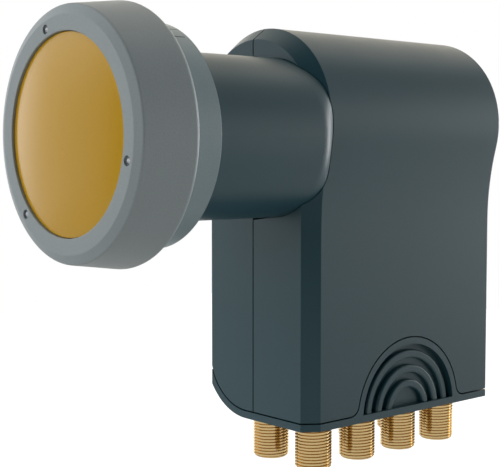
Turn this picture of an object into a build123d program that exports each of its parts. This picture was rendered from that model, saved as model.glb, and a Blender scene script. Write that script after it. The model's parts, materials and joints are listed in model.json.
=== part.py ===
"""Eight-output satellite LNB: clamp neck, split housing and a pull-down weather shield."""

import os
from math import cos, radians, sin, sqrt

from build123d import *

os.makedirs("parts", exist_ok=True)

# The origin is the centre of the clamp zone, on the neck axis.
# +Y runs from the window back into the housing, +X faces the finger grip, +Z is up.

# Neck, which the dish clamp grips. Its right flank stands out from the side cover and sinks into it
neck_radius = 20.0
neck_length = 37.1
neck_wall = 2.3
flank_start = 0.65
flank_length = 6.1
flank_drop = 3.7
flank_angle = -8.0
flank_spread = 60.0
flank_sections = 4
flank_points = 36

# Housing outline, seen from the front. Its middle lies to the left of the neck axis
housing_shift = 6.25
housing_depth = 71.0
half_width = 20.4
crown_radius = 23.9
crown_centre = 4.25
waist_radius = 78.2
lip_bottom = -73.35
corner_round = 16.8
front_chamfer_width = 3.0
front_chamfer_depth = 4.1
back_round = 0.8

# Half shells
shell_wall = 1.8
seam_shift = 0.5
seam_gap = 0.35
neck_gap = 0.12
slot_opening = 0.9
rest_rib_width = 2.0
rest_rib_spread = 10.0

# Weather shield
lip_height = 1.85
lip_gap = 0.4
slide_gap = 0.3
sleeve_wall = 1.2
sleeve_drop = 7.25
corner_plate_gap = 2.7

# Finger grip on the shield
grip_behind_middle = 2.15
grip_drop = 0.5
grip_radius = 19.8
grip_gap = 0.4
grip_foot_round = 3.3
grip_rim = 1.7
grip_recess_depth = 2.0
rib_count = 3
rib_pitch = 4.0
rib_width = 2.15
rib_drop = 0.6
rib_round = 0.55

# Stop pegs on the half shells, in slots of the shield
shield_travel = 28.0
stop_radius = 1.5
stop_spread = 9.0
stop_above_edge = 5.0

# Feed cap and window
cap_radius = 30.3
cap_depth = 14.55
cap_wall = 1.8
cap_draft = 1.8
cap_bevel = 2.2
cap_bevel_depth = 0.9
cap_back_round = 1.8
cap_bead = 1.5
cap_side_wall = 2.6
cap_edge_round = 0.6
ring_width = 5.9
window_thickness = 1.2
window_recess = 0.7
window_rise = 1.9
pin_angles = (107.0, -13.0, -133.0)
pin_recess_radius = 1.1
pin_recess_depth = 0.6
pin_head_radius = 0.8
pin_head_height = 0.45
pin_shank_radius = 0.6

# Collar, horn and seal
collar_step = 4.3
collar_length = 9.1
collar_edge = 0.5
collar_wall = 2.0
mark_width = 0.35
mark_depth = 0.25
mark_pitch = 8.5
short_marks = 5
short_mark_end = 1.5
horn_bore = 8.6
horn_cone_length = 17.0
choke_count = 2
choke_width = 2.0
choke_pitch = 3.8
choke_depth = 6.0
spigot_wall = 2.0
spigot_length = 8.0
seal_wall = 2.8
seal_section = 1.7
seal_chamfer = 0.4
seal_y_from_back = 4.5

# Die-cast chassis and its lid
chassis_clearance = 0.4
chassis_wall = 1.9
floor_above_lip = 2.4
floor_thickness = 12.0
cavity_top = 9.0
cavity_front_wall = 3.8
cavity_back_wall = 6.0
lid_thickness = 1.5
lid_seat = 3.0
lid_depth = 1.6
guide_wall = 1.4
guide_length = 28.0
screw_radius = 0.8
screw_head_radius = 1.35
screw_head_height = 1.0
screw_length = 6.0
screws_in_row = 3

# Boards and probes
board_thickness = 1.2
board_ledge = 0.8
board_margin = 0.4
amplifier_board_gap = 1.8
amplifier_board_length = 30.0
board_post_radius = 2.0
board_post_spread = 14.0
link_width = 18.0
link_from_end = 3.0
probe_radius = 0.45
probe_tip = 4.6
probe_side_gap = 1.5
probe_bend = 1.2
probe_room = 0.35
probe_first = 14.0
probe_spacing = 8.0

# Output sockets, two rows of four
right_row_inset = 8.45
left_row_inset = 16.05
port_first = 9.8
port_last = 12.3
ports_in_row = 4
port_reach = 13.9
port_radius = 4.76
port_end_chamfer = 0.5
port_thread_length = 10.7
port_thread_depth = 0.4
port_wall = 1.3
port_shank_length = 8.0
insulator_recess = 0.3
contact_radius = 0.7
contact_recess = 1.2
contact_hole_radius = 0.4
contact_hole_depth = 6.0

# Small gaps between pieces that are pressed into each other, or dropped in by hand
seat_gap = 0.05
drop_in_gap = 0.15

# How far cutting shapes reach past the object, and how close two places count as the same
cut_margin = 5.0
same_place = 0.01

# Places worked out from the sizes
housing_front = neck_length / 2
housing_back = housing_front + housing_depth
housing_middle = housing_front + housing_depth / 2
housing_x = -housing_shift
right_side = housing_x + half_width
left_side = housing_x - half_width
seam_x = housing_x - seam_shift
clamp_front = -neck_length / 2
cap_back = clamp_front - collar_length
cap_front = cap_back - cap_depth
cap_front_radius = cap_radius - cap_draft
window_radius = cap_front_radius - ring_width
collar_radius = cap_radius - collar_step
window_back = cap_front + cap_wall + window_thickness
flange_back = cap_back - cap_bead - slide_gap
cap_inner_radius = cap_radius - cap_side_wall
flange_radius = cap_inner_radius - slide_gap
neck_bore = neck_radius - neck_wall
flank_front = housing_front - flank_start
neck_back = flank_front + flank_length
neck_throat = neck_bore - flank_drop
waist_z = crown_centre - sqrt((crown_radius + waist_radius) ** 2 - (half_width + waist_radius) ** 2)
corner_x = corner_round - half_width
corner_z = lip_bottom + corner_round
lip_top = lip_bottom + lip_height
shell_bottom = lip_top + lip_gap
stop_z = shell_bottom + stop_above_edge
sleeve_top = waist_z - sleeve_drop
sleeve_inset = shell_wall + slide_gap
sleeve_inner_inset = sleeve_inset + sleeve_wall
chassis_inset = sleeve_inner_inset + chassis_clearance
chassis_front = housing_front + front_chamfer_depth + slide_gap
chassis_back = housing_back - chassis_inset
floor_bottom = lip_bottom + floor_above_lip
grip_y = housing_middle + grip_behind_middle
grip_z = lip_bottom + grip_drop
grip_recess_radius = grip_radius - grip_rim
rib_outer_radius = grip_recess_radius - grip_rim
below_all = lip_bottom - cut_margin
beyond_side = crown_radius + cut_margin
port_shank_radius = port_radius - port_thread_depth
port_bore = port_shank_radius - port_wall
port_end = floor_bottom - port_reach
port_rows = (right_side - right_row_inset, left_side + left_row_inset)
port_pitch = (housing_depth - port_first - port_last) / (ports_in_row - 1)
port_lines = [housing_front + port_first + k * port_pitch for k in range(ports_in_row)]
port_places = [(x, y) for x in port_rows for y in port_lines]
corner_plate_edge = port_rows[-1] - housing_x - port_radius - corner_plate_gap


def neck_plane(y):
    """Plane across the neck at a given depth, with its second axis up."""
    return Plane.XZ.offset(-y)


def housing_plane(y):
    """The same plane, measured from the middle of the housing."""
    return Plane((housing_x, y, 0), x_dir=(1, 0, 0), z_dir=(0, -1, 0))


def arch_face(inset, bottom, plane):
    """Front outline of the housing: round crown, hollow waist, straight sides."""
    side = half_width - inset
    crown = crown_radius - inset
    share = crown / (crown_radius + waist_radius)
    touch_x = (half_width + waist_radius) * share
    touch_z = crown_centre + (waist_z - crown_centre) * share
    with BuildSketch(plane) as face:
        with BuildLine():
            Line((-side, bottom), (side, bottom))
            Line((side, bottom), (side, waist_z))
            TangentArc((side, waist_z), (touch_x, touch_z), tangent=(0, 1))
            ThreePointArc((touch_x, touch_z), (0, crown_centre + crown), (-touch_x, touch_z))
            TangentArc((-side, waist_z), (-touch_x, touch_z), tangent=(0, 1))
            Line((-side, waist_z), (-side, bottom))
        make_face()
    return face.sketch


def skin_block(inset, bottom):
    """Solid of the housing, drawn in by an inset, with its front edge chamfered."""
    front = housing_front + inset
    back = housing_back - inset
    with BuildPart() as block:
        extrude(arch_face(inset, bottom, housing_plane(front)), amount=front - back)
        front_face = block.faces().sort_by(Axis.Y)[0]
        rim = front_face.edges().sort_by(Axis.Z)[1:]
        chamfer(rim, length=front_chamfer_width, length2=front_chamfer_depth, reference=front_face)
    return block.part


def below_parting(offset, end_x, plane):
    """Region under a line that follows the lower outline at an offset, with its round left corner."""
    level = lip_bottom + offset
    end_z = corner_z - sqrt(max((corner_round - offset) ** 2 - (end_x - corner_x) ** 2, 0.0))
    with BuildSketch(plane) as face:
        with BuildLine():
            Line((beyond_side, level), (corner_x, level))
            TangentArc((corner_x, level), (end_x, end_z), tangent=(-1, 0))
            Line((end_x, end_z), (-beyond_side, end_z))
            Line((-beyond_side, end_z), (-beyond_side, below_all))
            Line((-beyond_side, below_all), (beyond_side, below_all))
            Line((beyond_side, below_all), (beyond_side, level))
        make_face()
    return face.sketch


def grip_face(radius, level, foot_round, plane):
    """Half-round grip outline on the side, with hollow feet that run into the lip."""
    with BuildSketch(plane) as face:
        with Locations((grip_y, grip_z)):
            Circle(radius)
        with Locations((grip_y, (level + below_all) / 2)):
            Rectangle(2 * radius + 4 * foot_round, level - below_all)
        with Locations((grip_y, lip_bottom)):
            Rectangle(4 * radius, 2 * radius, align=(Align.CENTER, Align.MIN), mode=Mode.INTERSECT)
        at_level = face.vertices().filter_by(lambda corner: abs(corner.Y - level) < same_place)
        fillet(at_level.sort_by(Axis.X)[1:3], foot_round)
    return face.sketch


def recess_face():
    """Half-round hollow of the grip, flat along the lip, drawn on the flat."""
    with BuildSketch() as face:
        with Locations((grip_y, grip_z)):
            Circle(grip_recess_radius)
        with Locations((grip_y, lip_top)):
            Rectangle(
                4 * grip_radius, 2 * grip_radius, align=(Align.CENTER, Align.MIN), mode=Mode.INTERSECT
            )
    return face.sketch


def rib_face(radius):
    """One arched rib of the grip, drawn on the flat."""
    with BuildSketch() as face:
        with Locations((grip_y, grip_z)):
            Circle(radius)
            Circle(radius - rib_width, mode=Mode.SUBTRACT)
    return face.sketch


def rest_ribs(hand):
    """Ribs inside one half shell that the chassis rests against, on its side and its back."""
    rib_bottom = sleeve_top + rest_rib_width
    side_from = half_width - chassis_inset + seat_gap
    side_to = half_width - shell_wall / 2
    back_from = chassis_back + seat_gap
    back_to = housing_back - shell_wall / 2
    with BuildPart() as ribs:
        with Locations((housing_x + hand * (side_from + side_to) / 2, housing_middle, rib_bottom)):
            Box(
                side_to - side_from,
                rest_rib_width,
                waist_z - rib_bottom,
                align=(Align.CENTER, Align.CENTER, Align.MIN),
            )
        with Locations((housing_x + hand * rest_rib_spread, (back_from + back_to) / 2, rib_bottom)):
            Box(
                rest_rib_width,
                back_to - back_from,
                crown_centre - rib_bottom,
                align=(Align.CENTER, Align.CENTER, Align.MIN),
            )
    return ribs.part


def stop_peg(hand):
    """A peg on the back wall of one half shell, which ends the shield's travel."""
    with BuildSketch(housing_plane(housing_back - shell_wall / 2)) as face:
        with Locations((hand * stop_spread, stop_z)):
            Circle(stop_radius)
    return extrude(face.sketch, amount=shell_wall / 2 + slide_gap + sleeve_wall)


def flank_outline(radius, drop):
    """Points round the neck, seen from the front, with the right flank sunk smoothly by a drop."""
    outline = []
    for point in range(flank_points):
        angle = 360 * point / flank_points
        from_middle = (angle - flank_angle + 180) % 360 - 180
        hollow = cos(radians(90 * min(abs(from_middle) / flank_spread, 1.0))) ** 2
        reach = radius - drop * hollow
        outline.append((reach * cos(radians(angle)), reach * sin(radians(angle))))
    return outline


def neck_body(grow):
    """Solid of the neck, grown by a clearance: round, with an end whose right flank curves inwards."""
    radius = neck_radius + grow
    with BuildPart() as body:
        with BuildSketch(neck_plane(flange_back)):
            Circle(radius)
        extrude(amount=flange_back - flank_front)
        with BuildSketch(neck_plane(flank_front)):
            Circle(radius)
        for section in range(1, flank_sections + 1):
            share = section / flank_sections
            with BuildSketch(neck_plane(flank_front + share * (flank_length + grow))):
                with BuildLine():
                    Spline(*flank_outline(radius, flank_drop * share**2), periodic=True)
                make_face()
        loft()
    return body.part


chamfer_edge_x = -(half_width - front_chamfer_width)
whole_depth = housing_front - housing_back

# Outer skin that both half shells and the shield's lip are cut from
with BuildPart() as outer_skin:
    add(skin_block(0.0, below_all))
    fillet(outer_skin.faces().sort_by(Axis.Y)[-1].edges().sort_by(Axis.Z)[1:], back_round)

with BuildPart() as shell_cavity:
    add(skin_block(shell_wall, below_all - cut_margin))

# Main shell: the left half of the housing, moulded in one with the neck
with BuildPart() as neck_tube:
    add(neck_body(0.0))
    with BuildSketch(neck_plane(flange_back)):
        Circle(neck_bore)
    extrude(amount=flange_back - flank_front, mode=Mode.SUBTRACT)
    with BuildSketch(neck_plane(flank_front)):
        Circle(neck_throat)
    extrude(amount=-flank_length, mode=Mode.SUBTRACT)

with BuildPart() as main_shell:
    add(outer_skin.part)
    add(shell_cavity.part, mode=Mode.SUBTRACT)
    split(bisect_by=Plane.YZ.offset(seam_x - seam_gap / 2), keep=Keep.BOTTOM)
    extrude(
        below_parting(lip_height + lip_gap, chamfer_edge_x, housing_plane(housing_front)),
        amount=whole_depth,
        mode=Mode.SUBTRACT,
    )
    with BuildSketch(neck_plane(housing_front)):
        Circle(neck_bore)
    extrude(amount=-front_chamfer_depth, mode=Mode.SUBTRACT)
    add(neck_tube.part)
    add(rest_ribs(-1))
    add(stop_peg(-1))
main_shell.part.label = "main_shell"
export_step(main_shell.part, "parts/main_shell.step")

# Side cover: the right half, cut out round the neck and round the finger grip
with BuildPart() as side_cover:
    add(outer_skin.part)
    add(shell_cavity.part, mode=Mode.SUBTRACT)
    split(bisect_by=Plane.YZ.offset(seam_x + seam_gap / 2), keep=Keep.TOP)
    extrude(
        below_parting(lip_height + lip_gap, chamfer_edge_x, housing_plane(housing_front)),
        amount=whole_depth,
        mode=Mode.SUBTRACT,
    )
    add(neck_body(neck_gap), mode=Mode.SUBTRACT)
    slot_edge = neck_radius + neck_gap
    with BuildSketch(neck_plane(housing_front)):
        with BuildLine():
            Polyline(
                (0, slot_edge),
                (seam_x, slot_edge + slot_opening),
                (seam_x, -slot_edge - slot_opening),
                (0, -slot_edge),
                (0, slot_edge),
            )
        make_face()
    extrude(amount=-front_chamfer_depth, mode=Mode.SUBTRACT)
    extrude(
        grip_face(grip_radius + grip_gap, shell_bottom, grip_foot_round - grip_gap, Plane.YZ),
        amount=beyond_side,
        mode=Mode.SUBTRACT,
    )
    add(rest_ribs(1))
    add(stop_peg(1))
side_cover.part.label = "side_cover"
export_step(side_cover.part, "parts/side_cover.step")

# Weather shield: a sleeve inside the shells, a lip below them and the ribbed grip
with BuildPart() as shield_room:
    add(skin_block(sleeve_inner_inset, below_all - cut_margin))
    with BuildSketch(housing_plane(housing_front)):
        add(below_parting(lip_height, chamfer_edge_x, Plane.XY))
        with Locations((corner_plate_edge, lip_bottom)):
            Rectangle(
                2 * beyond_side, 4 * corner_round, align=(Align.MAX, Align.CENTER), mode=Mode.INTERSECT
            )
    extrude(amount=whole_depth, mode=Mode.SUBTRACT)

with BuildPart() as sleeve:
    add(skin_block(sleeve_inset, below_all))
    with Locations((housing_x, housing_middle, sleeve_top)):
        Box(
            4 * half_width,
            2 * housing_depth,
            4 * crown_radius,
            align=(Align.CENTER, Align.CENTER, Align.MIN),
            mode=Mode.SUBTRACT,
        )

with BuildPart() as weather_shield:
    add(outer_skin.part)
    extrude(
        below_parting(lip_height, chamfer_edge_x, housing_plane(housing_front)),
        amount=whole_depth,
        mode=Mode.INTERSECT,
    )
    add(sleeve.part)
    grip_thickness = sleeve_inner_inset
    grip_back = Plane.YZ.offset(right_side - grip_thickness)
    extrude(grip_face(grip_radius, lip_top, grip_foot_round, grip_back), amount=grip_thickness)
    extrude(
        below_parting(0.0, -half_width, housing_plane(housing_front)),
        amount=whole_depth,
        mode=Mode.SUBTRACT,
    )
    add(shield_room.part, mode=Mode.SUBTRACT)
    with BuildSketch(Plane.YZ.offset(right_side - rib_drop)):
        add(recess_face())
    extrude(amount=rib_drop, mode=Mode.SUBTRACT)
    with BuildSketch(Plane.YZ.offset(right_side - grip_recess_depth)):
        add(recess_face())
        for rib in range(rib_count):
            add(rib_face(rib_outer_radius - rib * rib_pitch), mode=Mode.SUBTRACT)
    extrude(amount=grip_recess_depth, mode=Mode.SUBTRACT)
    rib_arcs = weather_shield.edges().filter_by(GeomType.CIRCLE).filter_by_position(
        Axis.X, right_side - rib_drop - same_place, right_side - rib_drop + same_place
    )
    fillet(rib_arcs.filter_by(lambda arc: arc.radius < rib_outer_radius + same_place), rib_round)
    with BuildSketch(housing_plane(housing_back - sleeve_inset)):
        with Locations((0, stop_z + shield_travel / 2)):
            with GridLocations(2 * stop_spread, 0, 2, 1):
                SlotCenterToCenter(shield_travel, 2 * (stop_radius + slide_gap), rotation=90)
    extrude(amount=2 * sleeve_wall, mode=Mode.SUBTRACT)
weather_shield.part.label = "weather_shield"
export_step(weather_shield.part, "parts/weather_shield.step")

# Feed cap: a moulded ring that snaps over the horn's flange
ring_middle = (window_radius + cap_front_radius - cap_bevel) / 2
pin_places = [(ring_middle * cos(radians(a)), ring_middle * sin(radians(a))) for a in pin_angles]
with BuildPart() as feed_cap:
    bead_radius = collar_radius + lip_gap
    with BuildSketch():
        with BuildLine():
            Polyline(
                (window_radius, cap_front + cap_wall),
                (window_radius, cap_front),
                (cap_front_radius - cap_bevel, cap_front),
                (cap_front_radius, cap_front + cap_bevel_depth),
                (cap_radius, cap_back - cap_back_round),
            )
            TangentArc(
                (cap_radius, cap_back - cap_back_round),
                (cap_radius - cap_back_round, cap_back),
                tangent=(0, 1),
            )
            Polyline(
                (cap_radius - cap_back_round, cap_back),
                (bead_radius, cap_back),
                (bead_radius, cap_back - cap_bead),
                (cap_inner_radius, cap_back - cap_bead),
                (cap_inner_radius, cap_front + cap_wall),
                (window_radius, cap_front + cap_wall),
            )
        make_face()
    revolve(axis=Axis.Y)
    circles = feed_cap.edges().filter_by(GeomType.CIRCLE)
    wall_edge = circles.filter_by(lambda edge: abs(edge.radius - cap_front_radius) < same_place)
    fillet(wall_edge, cap_edge_round)
    with BuildSketch(neck_plane(cap_front)):
        with Locations(*pin_places):
            Circle(pin_recess_radius)
    extrude(amount=-pin_recess_depth, mode=Mode.SUBTRACT)
    with BuildSketch(neck_plane(cap_front)):
        with Locations(*pin_places):
            Circle(pin_shank_radius + seat_gap)
    extrude(amount=-cap_wall, mode=Mode.SUBTRACT)
feed_cap.part.label = "feed_cap"
export_step(feed_cap.part, "parts/feed_cap.step")

# Window: a thin amber dome whose rim is held behind the cap's ring
with BuildPart() as window:
    dome_radius = window_radius - drop_in_gap
    rim_radius = cap_inner_radius - drop_in_gap
    dome_edge = cap_front + window_recess
    dome_top = dome_edge - window_rise
    with BuildSketch():
        with BuildLine():
            TangentArc((0, dome_top), (dome_radius, dome_edge), tangent=(1, 0))
            Polyline(
                (dome_radius, dome_edge),
                (dome_radius, cap_front + cap_wall),
                (rim_radius, cap_front + cap_wall),
                (rim_radius, window_back),
                (dome_radius - window_thickness, window_back),
            )
            TangentArc(
                (0, dome_top + window_thickness),
                (dome_radius - window_thickness, window_back),
                tangent=(1, 0),
            )
            Line((0, dome_top + window_thickness), (0, dome_top))
        make_face()
    revolve(axis=Axis.Y)
window.part.label = "window"
export_step(window.part, "parts/window.step")

# Cap pins: three small round-headed rivets in the ring
with BuildPart() as cap_pin:
    with BuildSketch():
        with BuildLine():
            TangentArc((0, -pin_head_height), (pin_head_radius, 0), tangent=(1, 0))
            Polyline(
                (pin_head_radius, 0),
                (pin_shank_radius, 0),
                (pin_shank_radius, cap_wall - pin_recess_depth),
                (0, cap_wall - pin_recess_depth),
                (0, -pin_head_height),
            )
        make_face()
    revolve(axis=Axis.Y)

with BuildPart() as cap_pins:
    with Locations(*[(x, cap_front + pin_recess_depth, z) for x, z in pin_places]):
        add(cap_pin.part)
cap_pins.part.label = "cap_pins"
export_step(cap_pins.part, "parts/cap_pins.step")

# Feed horn: flange, choke grooves, cone and waveguide tube in one casting
seal_y = flange_back - seal_y_from_back
seal_centre = cap_inner_radius - seat_gap - seal_section / 2
spigot_radius = horn_bore + spigot_wall
spigot_end = neck_back + slide_gap + spigot_length
with BuildPart() as feed_horn:
    tube_radius = neck_bore - drop_in_gap
    tube_end = flank_front - drop_in_gap
    groove_floor = seal_centre - seal_section / 2 - seat_gap
    horn_mouth = groove_floor - seal_wall - choke_count * choke_pitch
    with BuildSketch():
        with BuildLine():
            Polyline(
                (horn_mouth, window_back),
                (flange_radius, window_back),
                (flange_radius, flange_back),
                (tube_radius, flange_back),
                (tube_radius, tube_end),
                (spigot_radius, tube_end),
                (spigot_radius, spigot_end),
                (horn_bore, spigot_end),
                (horn_bore, window_back + horn_cone_length),
                (horn_mouth, window_back),
            )
        make_face()
    revolve(axis=Axis.Y)
    with BuildSketch():
        for choke in range(choke_count):
            with Locations((horn_mouth + choke_pitch - choke_width + choke * choke_pitch, window_back)):
                Rectangle(choke_width, choke_depth, align=(Align.MIN, Align.MIN))
        with Locations((groove_floor, seal_y)):
            Rectangle(seal_section, seal_section + 2 * drop_in_gap, align=(Align.MIN, Align.CENTER))
    revolve(axis=Axis.Y, mode=Mode.SUBTRACT)
feed_horn.part.label = "feed_horn"
export_step(feed_horn.part, "parts/feed_horn.step")

# Cap seal: rubber ring in the flange's groove
with BuildPart() as cap_seal:
    with BuildSketch() as cap_seal_face:
        with Locations((seal_centre, seal_y)):
            Rectangle(seal_section, seal_section)
        chamfer(cap_seal_face.vertices(), seal_chamfer)
    revolve(axis=Axis.Y)
cap_seal.part.label = "cap_seal"
export_step(cap_seal.part, "parts/cap_seal.step")

# Horn collar: the ring between the clamp zone and the cap
with BuildPart() as horn_collar:
    with BuildSketch():
        with BuildLine():
            Polyline(
                (collar_radius - collar_wall, flange_back),
                (collar_radius, flange_back),
                (collar_radius, clamp_front - collar_edge),
                (collar_radius - collar_edge, clamp_front),
                (neck_radius + seat_gap, clamp_front),
                (neck_radius + seat_gap, clamp_front - collar_wall),
                (collar_radius - collar_wall, clamp_front - collar_wall),
                (collar_radius - collar_wall, flange_back),
            )
        make_face()
    revolve(axis=Axis.Y)
    short_start = 90 - (short_marks - 1) * mark_pitch
    for count, start, end in (
        (short_marks, short_start, clamp_front - short_mark_end),
        (short_marks - 1, short_start + mark_pitch, clamp_front),
    ):
        with BuildSketch(neck_plane(end)):
            with PolarLocations(collar_radius, count, start, 2 * mark_pitch * count):
                Rectangle(2 * mark_depth, mark_width)
        extrude(amount=collar_length, mode=Mode.SUBTRACT)
horn_collar.part.label = "horn_collar"
export_step(horn_collar.part, "parts/horn_collar.step")

# Chassis: die-cast box with the waveguide block above and the output sockets in its floor
chassis_side = half_width - chassis_inset
floor_top = floor_bottom + floor_thickness
cavity_front = chassis_front + cavity_front_wall
cavity_back = chassis_back - cavity_back_wall
cavity_right = housing_x + chassis_side - chassis_wall
lid_outer = housing_x - chassis_side + lid_depth
lid_inner = lid_outer + lid_thickness
cavity_length = cavity_back - cavity_front
cavity_height = cavity_top - floor_top
cavity_middle = ((cavity_front + cavity_back) / 2, (cavity_top + floor_top) / 2)
screw_spots = [
    (cavity_middle[0] + along * (cavity_length / 2 - screw_head_radius), edge)
    for along in [2 * n / (screws_in_row - 1) - 1 for n in range(screws_in_row)]
    for edge in (floor_top - lid_seat / 2, cavity_top + lid_seat / 2)
]
board_bottom = floor_top + board_ledge
guide_block_radius = spigot_radius + guide_wall
amplifier_board_top = -guide_block_radius - amplifier_board_gap
amplifier_board_bottom = amplifier_board_top - board_thickness
probe_side = -guide_block_radius - probe_side_gap
probe_y = chassis_front + probe_first
second_probe_y = probe_y + probe_spacing
board_left = lid_inner + board_margin
board_right = cavity_right - board_margin
board_front = cavity_front + board_margin
board_back = cavity_back - board_margin
with BuildPart() as chassis:
    add(skin_block(chassis_inset, floor_bottom))
    with Locations((housing_x, chassis_front, 0)):
        Box(
            4 * crown_radius,
            housing_depth,
            8 * crown_radius,
            align=(Align.CENTER, Align.MAX, Align.CENTER),
            mode=Mode.SUBTRACT,
        )
    extrude(
        below_parting(lip_height + chassis_clearance, chamfer_edge_x, housing_plane(housing_front)),
        amount=whole_depth,
        mode=Mode.SUBTRACT,
    )
    with BuildSketch(neck_plane(chassis_front)):
        Circle(neck_radius + chassis_clearance)
    extrude(amount=chassis_front - neck_back - slide_gap, mode=Mode.SUBTRACT)
    with BuildSketch(Plane.YZ.offset(lid_inner)):
        with Locations(cavity_middle):
            Rectangle(cavity_length + 2 * lid_seat, cavity_height + 2 * lid_seat)
    extrude(amount=-beyond_side, mode=Mode.SUBTRACT)
    with BuildSketch(Plane.YZ.offset(lid_inner)):
        with Locations(cavity_middle):
            Rectangle(cavity_length, cavity_height)
    extrude(amount=cavity_right - lid_inner, mode=Mode.SUBTRACT)
    with BuildSketch(Plane.YZ.offset(lid_inner)):
        with Locations(*screw_spots):
            Circle(screw_radius + seat_gap)
    extrude(amount=screw_length - lid_thickness, mode=Mode.SUBTRACT)
    with BuildSketch(neck_plane(cavity_front)):
        Circle(guide_block_radius)
    extrude(amount=-guide_length)
    with BuildSketch(neck_plane(chassis_front)):
        Circle(spigot_radius + seat_gap)
    extrude(amount=chassis_front - spigot_end, mode=Mode.SUBTRACT)
    with BuildSketch(neck_plane(chassis_front)):
        Circle(horn_bore)
    extrude(amount=-guide_length, mode=Mode.SUBTRACT)
    ledge_places = [(lid_inner, Align.MIN), (cavity_right, Align.MAX)]
    for ledge_x, ledge_align in ledge_places:
        with Locations((ledge_x, cavity_middle[0], floor_top)):
            Box(chassis_wall, cavity_length, board_ledge, align=(ledge_align, Align.CENTER, Align.MIN))
    with BuildSketch(Plane.XY.offset(amplifier_board_top)):
        with Locations((0, cavity_front + guide_length / 2)):
            with GridLocations(board_post_spread, 0, 2, 1):
                Circle(board_post_radius)
    extrude(amount=-amplifier_board_top - horn_bore)
    with Locations((0, probe_y, amplifier_board_top)):
        Cylinder(
            probe_radius + probe_room,
            -amplifier_board_top,
            align=(Align.CENTER, Align.CENTER, Align.MIN),
            mode=Mode.SUBTRACT,
        )
    with BuildSketch(Plane.YZ):
        with Locations((second_probe_y, 0)):
            Circle(probe_radius + probe_room)
    extrude(amount=-guide_block_radius, mode=Mode.SUBTRACT)
    with Locations(*[(x, y, floor_bottom) for x, y in port_places]):
        Cylinder(
            port_shank_radius + seat_gap,
            port_shank_length,
            align=(Align.CENTER, Align.CENTER, Align.MIN),
            mode=Mode.SUBTRACT,
        )
        Cylinder(
            port_bore,
            floor_thickness,
            align=(Align.CENTER, Align.CENTER, Align.MIN),
            mode=Mode.SUBTRACT,
        )
chassis.part.label = "chassis"
export_step(chassis.part, "parts/chassis.step")

# Chassis lid: a plate let into the left side of the chassis
with BuildPart() as chassis_lid:
    with BuildSketch(Plane.YZ.offset(lid_inner)):
        with Locations(cavity_middle):
            lid_overlap = lid_seat - drop_in_gap
            Rectangle(cavity_length + 2 * lid_overlap, cavity_height + 2 * lid_overlap)
        with Locations(*screw_spots):
            Circle(screw_radius + seat_gap, mode=Mode.SUBTRACT)
    extrude(amount=-lid_thickness)
chassis_lid.part.label = "chassis_lid"
export_step(chassis_lid.part, "parts/chassis_lid.step")

# Lid screws
with BuildPart() as lid_screws:
    with BuildSketch(Plane.YZ.offset(lid_outer)):
        with Locations(*screw_spots):
            Circle(screw_radius)
    extrude(amount=screw_length)
    with BuildSketch(Plane.YZ.offset(lid_outer)):
        with Locations(*screw_spots):
            Circle(screw_head_radius)
    extrude(amount=-screw_head_height)
lid_screws.part.label = "lid_screws"
export_step(lid_screws.part, "parts/lid_screws.step")

# Output board: carries the switching circuit and the eight output contacts
with BuildPart() as output_board:
    with BuildSketch(Plane.XY.offset(board_bottom)):
        with Locations(((board_left + board_right) / 2, (board_front + board_back) / 2)):
            Rectangle(board_right - board_left, board_back - board_front)
        with Locations(*port_places):
            Circle(contact_radius + seat_gap, mode=Mode.SUBTRACT)
    extrude(amount=board_thickness)
output_board.part.label = "output_board"
export_step(output_board.part, "parts/output_board.step")

# Amplifier board: hangs under the waveguide block and carries the probes
with BuildPart() as amplifier_board:
    with BuildSketch(Plane.XY.offset(amplifier_board_bottom)):
        with Locations(((board_left + board_right) / 2, board_front + amplifier_board_length / 2)):
            Rectangle(board_right - board_left, amplifier_board_length)
        with Locations((0, probe_y), (probe_side, second_probe_y)):
            Circle(probe_radius + seat_gap, mode=Mode.SUBTRACT)
    extrude(amount=board_thickness)
amplifier_board.part.label = "amplifier_board"
export_step(amplifier_board.part, "parts/amplifier_board.step")

# Link board: stands on the output board and carries the signals down from the amplifier
with BuildPart() as link_board:
    link_foot = board_bottom + board_thickness
    link_x = (board_left + board_right) / 2
    with Locations((link_x, board_front + amplifier_board_length - link_from_end, link_foot)):
        Box(
            link_width,
            board_thickness,
            amplifier_board_bottom - link_foot,
            align=(Align.CENTER, Align.CENTER, Align.MIN),
        )
link_board.part.label = "link_board"
export_step(link_board.part, "parts/link_board.step")

# Probes: one straight and one bent wire, at right angles inside the waveguide
with BuildPart() as probes:
    with BuildSketch(Plane.XY.offset(amplifier_board_bottom)):
        with Locations((0, probe_y)):
            Circle(probe_radius)
    extrude(amount=-probe_tip - amplifier_board_bottom)
    with BuildLine():
        bent_wire = FilletPolyline(
            (probe_side, second_probe_y, amplifier_board_bottom),
            (probe_side, second_probe_y, 0),
            (-probe_tip, second_probe_y, 0),
            radius=probe_bend,
        )
    with BuildSketch(Plane.XY.offset(amplifier_board_bottom)):
        with Locations((probe_side, second_probe_y)):
            Circle(probe_radius)
    sweep(path=bent_wire)
probes.part.label = "probes"
export_step(probes.part, "parts/probes.step")

# Output sockets: threaded brass body, insulator and spring contact, eight times over
shank_top = floor_bottom + port_shank_length
insulator_end = port_end + insulator_recess
contact_end = port_end + contact_recess
contact_top = board_bottom + board_thickness + board_ledge
with BuildPart() as socket_body:
    with BuildSketch():
        with BuildLine():
            Polyline(
                (port_bore, port_end),
                (port_radius - port_end_chamfer, port_end),
                (port_radius, port_end + port_end_chamfer),
                (port_radius, port_end + port_thread_length),
                (port_shank_radius, port_end + port_thread_length),
                (port_shank_radius, shank_top),
                (port_bore, shank_top),
                (port_bore, port_end),
            )
        make_face()
    revolve(axis=Axis.Y)

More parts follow.
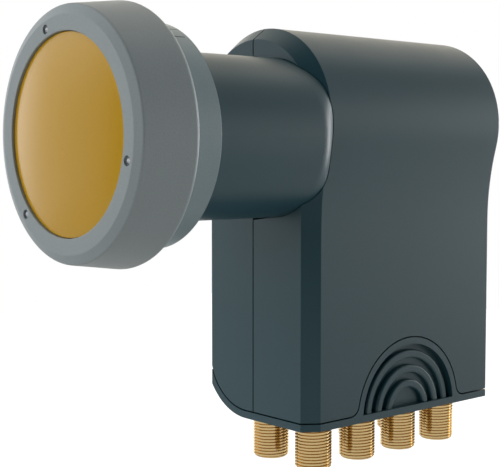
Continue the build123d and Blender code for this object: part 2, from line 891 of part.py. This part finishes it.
with BuildPart() as socket_insulator:
    with BuildSketch():
        with BuildLine():
            Polyline(
                (contact_radius + seat_gap, contact_end),
                (contact_hole_radius, contact_end),
                (2 * contact_hole_radius, insulator_end),
                (port_bore - seat_gap, insulator_end),
                (port_bore - seat_gap, floor_top),
                (contact_radius + seat_gap, floor_top),
                (contact_radius + seat_gap, contact_end),
            )
        make_face()
    revolve(axis=Axis.Y)

with BuildPart() as socket_contact:
    with BuildSketch():
        with BuildLine():
            Polyline(
                (contact_hole_radius, contact_end),
                (contact_radius, contact_end),
                (contact_radius, contact_top),
                (0, contact_top),
                (0, contact_end + contact_hole_depth),
                (contact_hole_radius, contact_end + contact_hole_depth),
                (contact_hole_radius, contact_end),
            )
        make_face()
    revolve(axis=Axis.Y)

for number, (port_x, port_y) in enumerate(port_places, start=1):
    upright = Location((port_x, port_y, 0), (90, 0, 0))
    for piece, blank in (
        ("socket_body", socket_body),
        ("socket_insulator", socket_insulator),
        ("socket_contact", socket_contact),
    ):
        with BuildPart() as socket_piece:
            with Locations(upright):
                add(blank.part)
        socket_piece.part.label = f"{piece}_{number}"
        export_step(socket_piece.part, f"parts/{piece}_{number}.step")
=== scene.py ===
# %% [markdown]
# # Dressing a satellite LNB
# An LNB is the small receiver on the arm of a satellite dish. Its solids are already made: a ring
# cap with an amber window, a round neck, a split housing, a weather shield that pulls down, and
# eight sockets. This lesson loads those solids as a fixed frame and gives them their looks: a
# camera, soft light, one finish for each material, real screw threads on the sockets, an evenly
# turned window and a cap with soft edges.

# %% Load the frame
import json
from math import cos, radians, sin, sqrt, tau

import bpy
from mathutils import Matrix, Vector


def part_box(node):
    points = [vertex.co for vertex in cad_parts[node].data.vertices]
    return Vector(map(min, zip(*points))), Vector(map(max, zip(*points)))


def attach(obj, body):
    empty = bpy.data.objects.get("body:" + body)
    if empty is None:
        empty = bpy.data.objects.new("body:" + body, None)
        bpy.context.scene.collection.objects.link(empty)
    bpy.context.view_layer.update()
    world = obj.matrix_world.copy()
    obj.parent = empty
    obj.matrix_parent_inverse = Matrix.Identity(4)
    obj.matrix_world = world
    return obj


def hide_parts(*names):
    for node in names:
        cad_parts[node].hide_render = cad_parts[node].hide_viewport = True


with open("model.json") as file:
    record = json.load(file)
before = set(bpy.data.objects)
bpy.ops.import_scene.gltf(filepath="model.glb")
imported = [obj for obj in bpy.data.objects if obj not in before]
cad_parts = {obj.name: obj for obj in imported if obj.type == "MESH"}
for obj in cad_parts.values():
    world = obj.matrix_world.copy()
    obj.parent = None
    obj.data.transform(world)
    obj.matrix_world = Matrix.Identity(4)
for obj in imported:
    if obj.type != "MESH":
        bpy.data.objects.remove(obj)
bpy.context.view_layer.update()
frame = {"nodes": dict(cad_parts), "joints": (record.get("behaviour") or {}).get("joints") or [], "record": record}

# %% [markdown]
# ## The camera
# The photograph was taken from the front right, just above the level of the neck, with a longish
# lens. The camera stands where the housing's straight edges and the round window give the same
# picture. It could be aimed with a Track To constraint, but two plain angles say the same thing
# and are easy to read.

# %% Place the camera
camera_turn = radians(48.95)
camera_tilt = radians(3.86)
camera_place = (0.21573, -0.17625, -0.00453)
lens_mm = 82.6
film_mm = 36.0
nearest = 0.01

camera_data = bpy.data.cameras.new("camera")
camera_data.lens = lens_mm
camera_data.sensor_width = film_mm
camera_data.clip_start = nearest
camera = bpy.data.objects.new("camera", camera_data)
camera.location = camera_place
camera.rotation_euler = (radians(90) - camera_tilt, 0, camera_turn)
bpy.context.scene.collection.objects.link(camera)
bpy.context.scene.camera = camera
bpy.context.scene.view_settings.view_transform = "Standard"
print("camera at", [round(1000 * part) for part in camera_place], "mm")

# %% [markdown]
# ## Arithmetic with shader sockets
# A finish is a small sum, such as a roughness plus a little noise. Written as nodes, each sign in
# that sum is three lines of code. A small class that stands for one output socket lets Python's
# own signs add the Math nodes instead, so the recipe of a finish reads like a formula. Everything
# that isn't arithmetic goes through its one method for making a node.


# %% A socket that can be calculated with
class Wire:
    """One output socket. Sums and products of wires and numbers add Math nodes to its tree."""

    def __init__(self, socket):
        self.socket = socket

    @classmethod
    def node(cls, tree, kind, settings=None, values=None, output=0):
        """Adds a node, makes its settings, then gives its sockets their numbers or wires."""
        made = tree.nodes.new(kind)
        for name, value in (settings or {}).items():
            setattr(made, name, value)
        for name, value in (values or {}).items():
            if isinstance(value, Wire):
                tree.links.new(value.socket, made.inputs[name])
            else:
                made.inputs[name].default_value = value
        return None if output is None else cls(made.outputs[output])

    def maths(self, operation, first, second):
        """One Math node on two wires or numbers."""
        tree = self.socket.id_data
        return Wire.node(tree, "ShaderNodeMath", {"operation": operation}, {0: first, 1: second})

    def __add__(self, other):
        return self.maths("ADD", self, other)

    def __radd__(self, other):
        return self.maths("ADD", other, self)

    def __sub__(self, other):
        return self.maths("SUBTRACT", self, other)

    def __rsub__(self, other):
        return self.maths("SUBTRACT", other, self)

    def __mul__(self, other):
        return self.maths("MULTIPLY", self, other)

    def __rmul__(self, other):
        return self.maths("MULTIPLY", other, self)

    def largest(self, other):
        """The larger of this wire and another."""
        return self.maths("MAXIMUM", self, other)


print("shader arithmetic is ready")

# %% [markdown]
# ## Light and background
# The object is dark and satin, so what it mirrors matters as much as what shines on it. In the
# picture the bevelled edge towards the camera is nearly black, while the faces to its left and
# right are lighter: soft panels stand at the left, in front, at the right and behind, and the room
# around the camera is dark. A narrow strong panel on the far side draws the thin light band where
# the neck sinks into the housing. Area lamps could stand there, but each panel would need a lamp,
# a place and an aim. Painted on the sky by direction, a panel is one line of numbers, it lights
# and is mirrored at once, and it never shows itself, because a camera ray sees plain white. The
# panels behind are a little warm, as the picture's upper edge is.

# %% Describe the panels
# Each panel has the azimuth and height of its middle and its half width, all in degrees, and a
# strength. Inside the core's share of the half width it is even, and from there it fades.
narrow_spread = 21
side_spread = 30
low_spread = 32
high_spread = 40
panel_core = 0.5
white_panels = {
    "left": (-96, 8, low_spread, 1.10),
    "front left": (-64, 2, low_spread, 1.08),
    "front": (4, 8, low_spread, 1.45),
    "right": (122, 2, side_spread, 1.15),
    "overhead left": (-49, 45, high_spread, 1.15),
    "overhead back": (160, 45, high_spread, 0.50),
    "far side": (174, 2, narrow_spread, 6.20),
}
warm_panels = {
    "behind": (221, 8, low_spread, 1.05),
    "overhead behind": (221, 45, high_spread, 0.85),
}
pure_white = (1, 1, 1, 1)
warm_white = (1.0, 0.92, 0.78, 1)


def panel_glow(tree, direction, azimuth, height, spread, strength):
    """A wire that is bright towards one direction: azimuth 0 in front, 90 at the finger grip."""
    turn, lift = radians(azimuth), radians(height)
    middle = (sin(turn) * cos(lift), -cos(turn) * cos(lift), sin(lift))
    facing = Wire.node(
        tree,
        "ShaderNodeVectorMath",
        {"operation": "DOT_PRODUCT"},
        {0: direction, 1: middle},
        output="Value",
    )
    return Wire.node(
        tree,
        "ShaderNodeMapRange",
        {"interpolation_type": "SMOOTHSTEP"},
        {
            "Value": facing,
            "From Min": cos(radians(spread)),
            "From Max": cos(radians(spread * panel_core)),
            "To Max": strength,
        },
    )


def path_test(tree, *names):
    """A wire that is 1 for rays of the named kinds and 0 for the others."""
    test = Wire.node(tree, "ShaderNodeLightPath", output=names[0])
    for name in names[1:]:
        test = test.largest(Wire.node(tree, "ShaderNodeLightPath", output=name))
    return test


print("panels:", [*white_panels, *warm_panels])

# %% Paint the sky
world = bpy.data.worlds.new("studio")
world.use_nodes = True
bpy.context.scene.world = world
sky_tree = world.node_tree
sky_tree.nodes.clear()
direction = Wire.node(sky_tree, "ShaderNodeTexCoord", output="Generated")
sky_seen = path_test(sky_tree, "Is Camera Ray")
white_glow = sum(panel_glow(sky_tree, direction, *panel) for panel in white_panels.values())
warm_glow = sum(panel_glow(sky_tree, direction, *panel) for panel in warm_panels.values())
white_sky = Wire.node(
    sky_tree,
    "ShaderNodeBackground",
    values={"Color": pure_white, "Strength": sky_seen.largest(white_glow)},
)
warm_sky = Wire.node(
    sky_tree,
    "ShaderNodeBackground",
    values={"Color": warm_white, "Strength": (1 - sky_seen) * warm_glow},
)
whole_sky = Wire.node(sky_tree, "ShaderNodeAddShader", values={0: white_sky, 1: warm_sky})
Wire.node(sky_tree, "ShaderNodeOutputWorld", values={"Surface": whole_sky}, output=None)
print("the sky is white to the camera and holds", len(white_panels) + len(warm_panels), "panels")

# %% [markdown]
# ## The floor
# The object hangs on a dish arm, so nothing stands on the floor: it lies just below the shield's
# lowest place and takes the shadow. A wide floor would show in each upright face as a darker lower
# half, so it is only as large as the shadow needs, and the low panels are mirrored whole. A
# camera ray sees it glow nearly white, and mirrored rays see about half of that glow.

# %% Lay the floor
shield_travel = frame["joints"][0]["range_m"][1]
floor_gap = 0.006
floor_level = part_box("weather_shield")[0].z - shield_travel - floor_gap
floor_size = 0.9
floor_glow = 0.80
floor_mirror = 0.55
floor_white = (0.55, 0.55, 0.55, 1)

bpy.ops.object.select_all(action="DESELECT")
bpy.ops.mesh.primitive_plane_add(size=floor_size, location=(0, 0, floor_level))
floor = bpy.context.object
floor.name = "floor"
print("floor", round(-1000 * floor_level, 1), "mm below the neck axis")

# %% Paint the floor
floor_paint = bpy.data.materials.new("floor")
floor_paint.use_nodes = True
floor_tree = floor_paint.node_tree
floor_tree.nodes.clear()
floor_matt = Wire.node(floor_tree, "ShaderNodeBsdfDiffuse", values={"Color": floor_white})
floor_light = Wire.node(
    floor_tree, "ShaderNodeEmission", values={"Color": pure_white, "Strength": floor_glow}
)
floor_both = Wire.node(floor_tree, "ShaderNodeAddShader", values={0: floor_matt, 1: floor_light})
floor_seen = path_test(floor_tree, "Is Camera Ray")
floor_mirrored = path_test(floor_tree, "Is Glossy Ray", "Is Transmission Ray")
glow_share = floor_seen + floor_mirror * floor_mirrored
floor_mix = Wire.node(
    floor_tree, "ShaderNodeMixShader", values={0: glow_share, 1: floor_matt, 2: floor_both}
)
Wire.node(floor_tree, "ShaderNodeOutputMaterial", values={"Surface": floor_mix}, output=None)
floor.data.materials.append(floor_paint)
print("floor paint:", floor_paint.name)

# %% [markdown]
# ## Moulded plastic
# The housing, the cap and the collar are injection moulded. Their tools are spark eroded, which
# leaves a fine even grain: the surface looks satin from afar and sparkles a little close up. An
# image of such a grain could be wrapped over the parts, but noise on object coordinates has no
# seams and keeps its real size, about a third of a millimetre, on every piece.


# %% A finish to start from
grain_depth = 0.0001


def new_finish(name):
    """A material with its shader, its tree and the place of each point on the object."""
    material = bpy.data.materials.new(name)
    material.use_nodes = True
    tree = material.node_tree
    shader = tree.nodes["Principled BSDF"]
    place = Wire.node(tree, "ShaderNodeTexCoord", output="Object")
    return material, tree, shader, place


def noise(tree, place, scale):
    """A wire of soft noise from 0 to 1, with so many lumps to the metre."""
    return Wire.node(tree, "ShaderNodeTexNoise", values={"Vector": place, "Scale": scale})


def tinted(tree, amount, dark, light):
    """A colour between two others, by a wire."""
    return Wire.node(
        tree,
        "ShaderNodeMix",
        {"data_type": "RGBA", "clamp_factor": True},
        {"Factor": amount, 6: (*dark, 1), 7: (*light, 1)},
        output=2,
    )


def feed(tree, shader, **wires):
    """Links wires to the shader's sockets, named with underscores for spaces."""
    for name, wire in wires.items():
        tree.links.new(wire.socket, shader.inputs[name.replace("_", " ")])


def bumps(tree, height, strength):
    """A normal wire from a wire of heights, as deep as the grain."""
    return Wire.node(
        tree,
        "ShaderNodeBump",
        values={"Height": height, "Strength": strength, "Distance": grain_depth},
    )


def linear(*channels):
    """A screen colour, 0 to 255, as the linear numbers that shaders use."""
    parts = [channel / 255 for channel in channels]
    return tuple(c / 12.92 if c < 0.04045 else ((c + 0.055) / 1.055) ** 2.4 for c in parts)


print("finish helpers are ready")

# %% Mix the plastics
grain_scale = 3000
patch_scale = 60
patch_share = 0.3
tone_swing = 0.16
polish_swing = 0.10


def moulded_plastic(name, colour, roughness, grain):
    """Satin moulded plastic with a spark-eroded grain."""
    material, tree, shader, place = new_finish(name)
    fine = noise(tree, place, grain_scale)
    patches = noise(tree, place, patch_scale)
    dark = [(1 - tone_swing) * c for c in colour]
    light = [(1 + tone_swing) * c for c in colour]
    tone = (1 - patch_share) * fine + patch_share * patches
    feed(
        tree,
        shader,
        Base_Color=tinted(tree, tone, dark, light),
        Roughness=roughness + polish_swing * (patches - 0.5),
        Normal=bumps(tree, fine, grain),
    )
    return material


housing_plastic = moulded_plastic(
    "housing_plastic", linear(34, 73, 83), roughness=0.40, grain=0.20
)
cap_plastic = moulded_plastic("cap_plastic", linear(151, 162, 165), roughness=0.46, grain=0.25)
collar_plastic = moulded_plastic(
    "collar_plastic", linear(138, 157, 163), roughness=0.38, grain=0.20
)
print("plastics:", housing_plastic.name, cap_plastic.name, collar_plastic.name)

# %% [markdown]
# ## The amber window
# The window is a thin frosted dome that lets microwaves through and keeps rain out. It looks deep
# amber where it mirrors the dark studio and pale where it mirrors the panels at the left. That
# could be painted as a blend of two colours, but it would stay put when the view turns, so the
# change is left to the light, and only the amber itself is in the finish.

# %% Mix the window's finish
haze_scale = 2500
window_polish = 0.17
haze_polish = 0.06
haze_grain = 0.02
window_mirror = 0.36

window_finish, tree, shader, place = new_finish("amber_window")
haze = noise(tree, place, haze_scale)
feed(
    tree,
    shader,
    Base_Color=tinted(tree, haze, linear(208, 158, 3), linear(218, 168, 5)),
    Roughness=window_polish + haze_polish * haze,
    Normal=bumps(tree, haze, haze_grain),
)
shader.inputs["Specular IOR Level"].default_value = window_mirror
print("window finish:", window_finish.name)

# %% [markdown]
# ## Metals, boards and small parts
# The sockets are turned from brass, and turning leaves fine rings round the axis. The castings
# inside are dull, the screws bright. One plain metal could serve them all, because these pieces
# hardly show, but a part in a library is looked at from below and taken apart, so each has its own
# finish. Two small recipes, one for metals and one for solid colours, make them all.


# %% Mix the metals
metal_swing = 0.12
even = (1, 1, 1)
turned_rings = (0.2, 0.2, 4)


def metal(name, dark, light, roughness, scale, stretch=even):
    """Bare metal whose tone and polish change a little, in a pattern stretched along the axes."""
    material, tree, shader, place = new_finish(name)
    stretched = Wire.node(tree, "ShaderNodeMapping", values={"Vector": place, "Scale": stretch})
    tone = noise(tree, stretched, scale)
    feed(
        tree,
        shader,
        Base_Color=tinted(tree, tone, dark, light),
        Roughness=roughness + metal_swing * (tone - 0.5),
    )
    shader.inputs["Metallic"].default_value = 1.0
    return material


brass = metal(
    "turned_brass",
    linear(204, 174, 118),
    linear(226, 202, 152),
    roughness=0.14,
    scale=900,
    stretch=turned_rings,
)
contact_brass = metal(
    "contact_brass", linear(212, 168, 92), linear(232, 194, 122), roughness=0.25, scale=1200
)
cast_metal = metal(
    "cast_metal", linear(150, 152, 154), linear(182, 184, 186), roughness=0.48, scale=700
)
steel = metal(
    "bright_steel", linear(150, 152, 156), linear(190, 192, 196), roughness=0.32, scale=1500
)
print("metals:", brass.name, contact_brass.name, cast_metal.name, steel.name)


# %% Mix the small parts' finishes
plain_swing = 0.08


def plain_mix(name, dark, light, roughness, scale):
    """A smooth solid colour with a little life in it."""
    material, tree, shader, place = new_finish(name)
    tone = noise(tree, place, scale)
    feed(
        tree,
        shader,
        Base_Color=tinted(tree, tone, dark, light),
        Roughness=roughness + plain_swing * (tone - 0.5),
    )
    return material


insulator_white = plain_mix(
    "insulator_white", linear(222, 218, 205), linear(236, 233, 224), roughness=0.35, scale=500
)
board_green = plain_mix(
    "board_green", linear(14, 66, 34), linear(24, 88, 48), roughness=0.30, scale=260
)
seal_rubber = plain_mix(
    "seal_rubber", linear(16, 16, 17), linear(28, 28, 29), roughness=0.75, scale=800
)
print("small parts:", insulator_white.name, board_green.name, seal_rubber.name)

# %% Put the finishes on
finish_of_slot = {
    "housing": housing_plastic,
    "cap": cap_plastic,
    "collar": collar_plastic,
    "window": window_finish,
    "cast_metal": cast_metal,
    "seal": seal_rubber,
    "brass": brass,
    "contact": contact_brass,
    "insulator": insulator_white,
    "board": board_green,
    "steel": steel,
}
slot_of_node = {row["node"]: row["material_slot"] for row in frame["record"]["subparts"]}
for node_name, node in frame["nodes"].items():
    node.data.materials.clear()
    node.data.materials.append(finish_of_slot[slot_of_node[node_name]])
print(len(frame["nodes"]), "solids have their finish")

# %% [markdown]
# ## Threaded sockets
# Each output is a brass socket with 32 turns to the inch outside. In the solids it is a plain
# cylinder as wide as the thread's crests. A bump map could draw lines on it, but a thread is seen
# against the light at its edges, so it is made for real. One profile of a single turn is drawn by
# extruding a point, the Screw modifier winds it into a long rod, and a Boolean with a turned blank
# cuts the rod to the socket's length, with its chamfer and its bore.


# %% Tools for turned pieces
start_size = 0.001
same_place = 1e-6
origin = (0, 0, 0)
upright = (0, 0, 1)
along_neck = (0, 1, 0)


def draw_profile(name, points):
    """A line of edges through points, drawn by extruding one point from the next."""
    bpy.ops.object.select_all(action="DESELECT")
    bpy.ops.mesh.primitive_plane_add(size=start_size, location=origin)
    piece = bpy.context.object
    piece.name = name
    bpy.ops.object.mode_set(mode="EDIT")
    bpy.ops.mesh.select_mode(type="VERT")
    bpy.ops.mesh.select_all(action="SELECT")
    bpy.ops.mesh.merge(type="CENTER")
    bpy.ops.transform.translate(value=points[0])
    for here, there in zip(points, points[1:]):
        step = Vector(there) - Vector(here)
        bpy.ops.mesh.extrude_region_move(TRANSFORM_OT_translate={"value": step})
    bpy.ops.object.mode_set(mode="OBJECT")
    return piece


def turn_on_lathe(piece, steps, axis):
    """Spins a profile round an axis through the origin and closes the seam."""
    bpy.ops.object.mode_set(mode="EDIT")
    bpy.ops.mesh.select_all(action="SELECT")
    bpy.ops.mesh.spin(steps=steps, angle=tau, center=origin, axis=axis)
    bpy.ops.mesh.select_all(action="SELECT")
    bpy.ops.mesh.remove_doubles(threshold=same_place)
    bpy.ops.mesh.normals_make_consistent(inside=False)
    bpy.ops.object.mode_set(mode="OBJECT")
    return piece


# %% Tools for cutting and for standing in
def cut_with(piece, tool, operation):
    """Applies a Boolean with another piece, then removes that piece."""
    cutting = piece.modifiers.new("cutting", "BOOLEAN")
    cutting.operation = operation
    cutting.solver = "EXACT"
    cutting.object = tool
    bpy.context.view_layer.objects.active = piece
    bpy.ops.object.modifier_apply(modifier="cutting")
    bpy.data.objects.remove(tool)


def stand_for(piece, node_name, finish, smooth_angle):
    """Gives a piece its finish and lets it stand for a solid of the fixed body."""
    bpy.ops.object.select_all(action="DESELECT")
    piece.select_set(True)
    bpy.context.view_layer.objects.active = piece
    bpy.ops.object.shade_smooth_by_angle(angle=radians(smooth_angle))
    piece.modifiers.new("even_shading", "WEIGHTED_NORMAL").keep_sharp = True
    bpy.ops.object.modifier_apply(modifier="even_shading")
    piece.data.materials.clear()
    piece.data.materials.append(finish)
    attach(piece, "lnb")
    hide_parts(node_name)


print("lathe tools are ready")

# %% Wind the thread
inch = 0.0254
thread_pitch = inch / 32
thread_depth = 0.0005
crest_width = 0.30 * thread_pitch
round_steps = 56
spare_turns = 2

socket_low, socket_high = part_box("socket_body_1")
socket_radius = (socket_high.x - socket_low.x) / 2
socket_bore = 0.00306
shank_radius = 0.00436
thread_length = 0.0107
thread_root = socket_radius - thread_depth
turns = int((socket_high.z - socket_low.z) / thread_pitch) + 2 * spare_turns
thread_start = socket_low.z - spare_turns * thread_pitch

flank = (thread_pitch - 2 * crest_width) / 2
rod = draw_profile(
    "thread_rod",
    [
        (thread_root, 0, thread_start),
        (socket_radius, 0, thread_start + flank),
        (socket_radius, 0, thread_start + flank + crest_width),
        (thread_root, 0, thread_start + 2 * flank + crest_width),
        (thread_root, 0, thread_start + thread_pitch),
    ],
)
winding = rod.modifiers.new("winding", "SCREW")
winding.axis = "Z"
winding.angle = tau
winding.screw_offset = thread_pitch
winding.iterations = turns
winding.steps = winding.render_steps = round_steps
winding.use_merge_vertices = True
winding.merge_threshold = same_place
bpy.ops.object.modifier_apply(modifier="winding")
print("thread rod:", turns, "turns,", len(rod.data.polygons), "faces")

# %% Close the rod's ends
bpy.ops.object.mode_set(mode="EDIT")
bpy.ops.mesh.select_all(action="SELECT")
bpy.ops.mesh.remove_doubles(threshold=same_place)
for end, normal in ((socket_low.z - thread_pitch, -1), (socket_high.z + thread_pitch, 1)):
    bpy.ops.mesh.select_all(action="SELECT")
    bpy.ops.mesh.bisect(
        plane_co=(0, 0, end), plane_no=(0, 0, normal), clear_outer=True, use_fill=True
    )
bpy.ops.mesh.select_all(action="SELECT")
bpy.ops.mesh.normals_make_consistent(inside=False)
bpy.ops.object.mode_set(mode="OBJECT")
print("closed rod:", len(rod.data.polygons), "faces")

# %% Turn the blank and cut the thread to it
end_chamfer = 0.0008
cut_margin = 0.0001
blank_radius = socket_radius + cut_margin
blank = turn_on_lathe(
    draw_profile(
        "socket_blank",
        [
            (socket_bore, 0, socket_low.z),
            (thread_root - cut_margin, 0, socket_low.z),
            (blank_radius, 0, socket_low.z + end_chamfer),
            (blank_radius, 0, socket_low.z + thread_length),
            (shank_radius, 0, socket_low.z + thread_length),
            (shank_radius, 0, socket_high.z),
            (socket_bore, 0, socket_high.z),
            (socket_bore, 0, socket_low.z),
        ],
    ),
    round_steps,
    upright,
)
cut_with(rod, blank, "INTERSECT")
print("threaded socket:", len(rod.data.polygons), "faces")

# %% Set eight threaded sockets in place
thread_smooth = 25
socket_numbers = range(1, 9)


def set_socket(number):
    """A copy of the threaded socket, with a mesh of its own, where its plain solid stands."""
    node_name = f"socket_body_{number}"
    low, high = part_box(node_name)
    bpy.ops.object.select_all(action="DESELECT")
    rod.select_set(True)
    bpy.context.view_layer.objects.active = rod
    bpy.ops.object.duplicate(linked=False)
    copy = bpy.context.object
    copy.name = f"threaded_socket_{number}"
    copy.location = ((low.x + high.x) / 2, (low.y + high.y) / 2, 0)
    bpy.ops.object.transform_apply(location=True, rotation=False, scale=False)
    stand_for(copy, node_name, brass, thread_smooth)


for number in socket_numbers:
    set_socket(number)
bpy.data.objects.remove(rod)
print("threaded sockets:", len(socket_numbers))

# %% [markdown]
# ## A turned window
# The window is a shallow dome of thin plastic whose rim sits behind the cap. Triangles that meet
# unevenly at a dome's middle catch the light as a small star, and this dome faces the camera.
# Subdividing would soften that, but turning the dome's section once round the neck axis gives
# even rings and a clean middle.

# %% Turn the window
turned_smooth = 30
window_steps = 96
dome_steps = 14
dome_radius = 0.02245
dome_rise = 0.0019
window_thickness = 0.0012
window_low, window_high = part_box("window")
rim_radius = (window_high.x - window_low.x) / 2
rim_front = window_high.y - window_thickness


def dome_curve(top, edge_radius, rise):
    """Points along a shallow arc from a dome's middle to its edge."""
    arc_radius = (edge_radius**2 + rise**2) / (2 * rise)
    radii = [edge_radius * step / dome_steps for step in range(dome_steps + 1)]
    return [(r, top + arc_radius - sqrt(arc_radius**2 - r**2), 0) for r in radii]


outside = dome_curve(window_low.y, dome_radius, dome_rise)
inside_radius = dome_radius - window_thickness
inside_top = window_low.y + window_thickness
inside = dome_curve(inside_top, inside_radius, window_high.y - inside_top)
rim = [(dome_radius, rim_front, 0), (rim_radius, rim_front, 0), (rim_radius, window_high.y, 0)]
turned_window = draw_profile("turned_window", outside + rim + inside[::-1])
turn_on_lathe(turned_window, window_steps, along_neck)
stand_for(turned_window, "window", window_finish, turned_smooth)
print("window:", len(turned_window.data.polygons), "faces")

# %% [markdown]
# ## A cap with soft edges
# A moulded cap has no sharp edge: each one is rounded by the tool, and a thin light line runs
# along it. The solid's edges are plain. A Bevel modifier would round them all alike, so the cap is
# turned again from its section, its edges are selected by their place and bevelled, each by its
# own width, and the three pin holes are cut with a stepped tool.

# %% Turn the cap
cap_steps = 128
cap_low, cap_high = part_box("feed_cap")
cap_radius = (cap_high.x - cap_low.x) / 2
cap_wall = 0.0018
window_opening = 0.0226
ring_edge = 0.0263
bevel_edge = 0.0285
bevel_depth = 0.0009
cap_inside = 0.0277
bead_radius = 0.0264
bead_depth = 0.0015

turned_cap = draw_profile(
    "turned_cap",
    [
        (window_opening, cap_low.y + cap_wall, 0),
        (window_opening, cap_low.y, 0),
        (ring_edge, cap_low.y, 0),
        (bevel_edge, cap_low.y + bevel_depth, 0),
        (cap_radius, cap_high.y, 0),
        (bead_radius, cap_high.y, 0),
        (bead_radius, cap_high.y - bead_depth, 0),
        (cap_inside, cap_high.y - bead_depth, 0),
        (cap_inside, cap_low.y + cap_wall, 0),
        (window_opening, cap_low.y + cap_wall, 0),
    ],
)
turn_on_lathe(turned_cap, cap_steps, along_neck)
print("cap:", len(turned_cap.data.polygons), "faces")


# %% Round the cap's edges
near = 1e-5
soft_edges = {
    "window opening": (window_opening, cap_low.y, 0.0002, 3),
    "ring": (ring_edge, cap_low.y, 0.0002, 3),
    "bevel": (bevel_edge, cap_low.y + bevel_depth, 0.0004, 4),
    "back": (cap_radius, cap_high.y, 0.0016, 6),
}


def round_ring(piece, radius, y, width, segments):
    """Bevels the one ring of edges that lies at a radius and a depth."""
    mesh = piece.data
    ring = [
        abs(sqrt(v.co.x**2 + v.co.z**2) - radius) < near and abs(v.co.y - y) < near
        for v in mesh.vertices
    ]
    bpy.ops.object.mode_set(mode="EDIT")
    bpy.ops.mesh.select_mode(type="EDGE")
    bpy.ops.mesh.select_all(action="DESELECT")
    bpy.ops.object.mode_set(mode="OBJECT")
    for edge in mesh.edges:
        edge.select = ring[edge.vertices[0]] and ring[edge.vertices[1]]
    bpy.ops.object.mode_set(mode="EDIT")
    bpy.ops.mesh.bevel(offset=width, segments=segments, affect="EDGES")
    bpy.ops.object.mode_set(mode="OBJECT")


for soft_edge in soft_edges.values():
    round_ring(turned_cap, *soft_edge)
print("cap with", len(soft_edges), "round edges:", len(turned_cap.data.polygons), "faces")

# %% Cut the pin holes
pin_angles = (107, -13, -133)
pin_circle = (window_opening + ring_edge) / 2
recess_radius, recess_depth = 0.0011, 0.0006
shank_hole = 0.00065
hole_steps = 32
overshoot = 0.0005
for pin_angle in pin_angles:
    drill = draw_profile(
        "pin_drill",
        [
            (0, cap_low.y - overshoot, 0),
            (recess_radius, cap_low.y - overshoot, 0),
            (recess_radius, cap_low.y + recess_depth, 0),
            (shank_hole, cap_low.y + recess_depth, 0),
            (shank_hole, cap_low.y + cap_wall + overshoot, 0),
            (0, cap_low.y + cap_wall + overshoot, 0),
        ],
    )
    turn_on_lathe(drill, hole_steps, along_neck)
    turn = radians(pin_angle)
    drill.location = (pin_circle * cos(turn), 0, pin_circle * sin(turn))
    bpy.ops.object.transform_apply(location=True, rotation=False, scale=False)
    cut_with(turned_cap, drill, "DIFFERENCE")
stand_for(turned_cap, "feed_cap", cap_plastic, turned_smooth)
print("pin holes:", len(pin_angles), "and", len(turned_cap.data.polygons), "faces")
